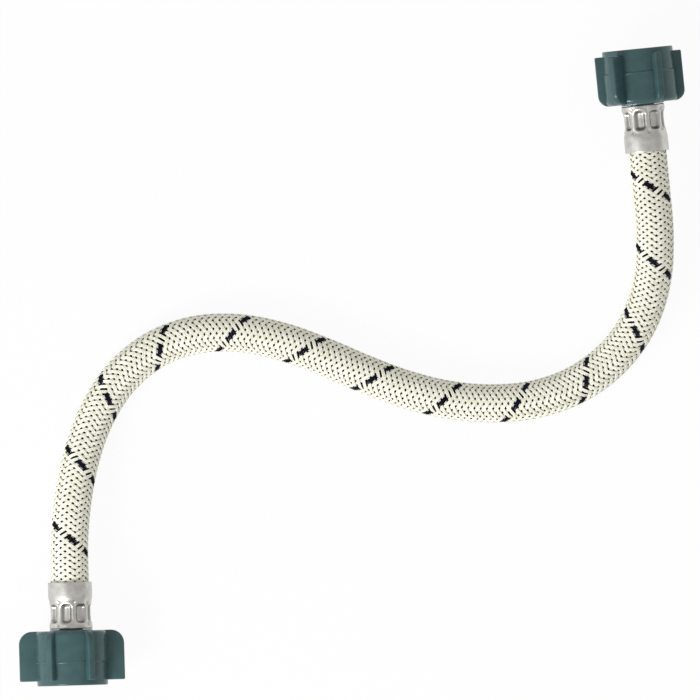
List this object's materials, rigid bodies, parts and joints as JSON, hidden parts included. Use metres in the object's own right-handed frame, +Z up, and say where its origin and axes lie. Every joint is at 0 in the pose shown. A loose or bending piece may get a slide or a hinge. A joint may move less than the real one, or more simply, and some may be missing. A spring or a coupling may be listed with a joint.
{
  "type": "flexible sink connector",
  "caption": "Flexible braided hose with a crimped steel ferrule and a swivelling wing nut on each end, for joining a tap to a water valve.",
  "frame": {"origin": "on the surface that the connector lies on, below the centre of the box of its two end fittings", "axes": "+Z up from the surface, +Y from the lower fitting towards the upper one, +X to the right as seen from above"},
  "size_m": [0.2314, 0.2228, 0.0319],
  "materials": {
    "braid": "woven ivory polymer strands with one dark navy tracer strand",
    "liner": "matt black rubber",
    "ferrule": "satin stainless sheet, crimped",
    "nipple": "turned brass",
    "washer": "matt black rubber",
    "nut": "moulded grey green plastic with a soft sheen"
  },
  "bodies": {
    "hose": {"braided_sleeve": "braid", "inner_liner": "liner", "lower_ferrule": "ferrule", "lower_nipple": "nipple", "lower_washer": "washer", "upper_ferrule": "ferrule", "upper_nipple": "nipple", "upper_washer": "washer"},
    "lower_nut": {"lower_wing_nut": "nut"},
    "upper_nut": {"upper_wing_nut": "nut"}
  },
  "joints": [
    {"name": "lower_nut_spin", "type": "hinge", "parent": "hose", "child": "lower_nut", "pos_m": [-0.098, -0.0751, 0.0137], "axis": [0.0286, -0.9996, 0], "continuous": true},
    {"name": "upper_nut_spin", "type": "hinge", "parent": "hose", "child": "upper_nut", "pos_m": [0.1027, 0.0744, 0.016], "axis": [-0.0995, 0.995, 0], "continuous": true}
  ]
}
